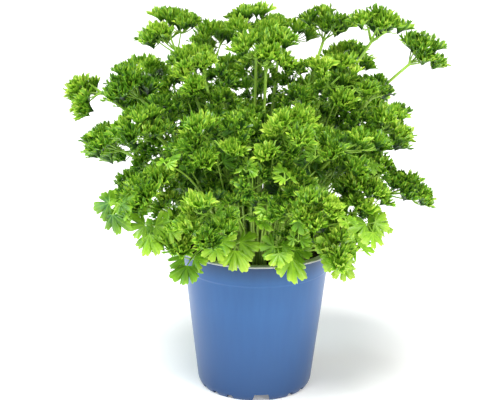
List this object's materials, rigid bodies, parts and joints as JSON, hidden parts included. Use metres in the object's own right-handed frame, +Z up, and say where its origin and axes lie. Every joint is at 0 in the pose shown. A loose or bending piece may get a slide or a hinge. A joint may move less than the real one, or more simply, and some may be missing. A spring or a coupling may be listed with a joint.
{
  "type": "potted parsley",
  "caption": "Bushy curly parsley plant with stalked, ruffled leaf heads, growing in a thin-walled tapered plastic nursery pot that stands on its foot ring.",
  "frame": {"origin": "on the pot's axis, at the level of the surface that the foot stands on", "axes": "+Z up along the pot's axis, -Y towards the side that the picture shows, +X to that view's right"},
  "size_m": [0.3019, 0.2606, 0.3127],
  "materials": {
    "pot": "thin thermoformed polypropylene, satin blue outside and pale grey inside and on the lip",
    "peat": "dark, granular, matt peat",
    "leaf": "fresh green leaf, waxy sheen above and paler stalks"
  },
  "bodies": {
    "root": {"pot": "pot", "soil": "peat", "frond_01": "leaf", "frond_02": "leaf", "frond_03": "leaf", "frond_04": "leaf", "frond_05": "leaf", "frond_06": "leaf", "frond_07": "leaf", "frond_08": "leaf", "frond_09": "leaf", "frond_10": "leaf", "frond_11": "leaf", "frond_12": "leaf", "frond_13": "leaf", "frond_14": "leaf", "frond_15": "leaf", "frond_16": "leaf", "frond_17": "leaf", "frond_18": "leaf", "frond_19": "leaf", "frond_20": "leaf", "frond_21": "leaf", "frond_22": "leaf", "frond_23": "leaf", "frond_24": "leaf", "frond_25": "leaf", "frond_26": "leaf", "frond_27": "leaf", "frond_28": "leaf", "frond_29": "leaf", "frond_30": "leaf", "frond_31": "leaf", "frond_32": "leaf", "frond_33": "leaf", "frond_34": "leaf", "frond_35": "leaf", "frond_36": "leaf", "frond_37": "leaf", "frond_38": "leaf", "frond_39": "leaf", "rim_leaf_01": "leaf", "rim_leaf_02": "leaf", "rim_leaf_03": "leaf", "rim_leaf_04": "leaf", "rim_leaf_05": "leaf", "rim_leaf_06": "leaf", "rim_leaf_07": "leaf", "rim_leaf_08": "leaf", "rim_leaf_09": "leaf"}
  },
  "joints": []
}
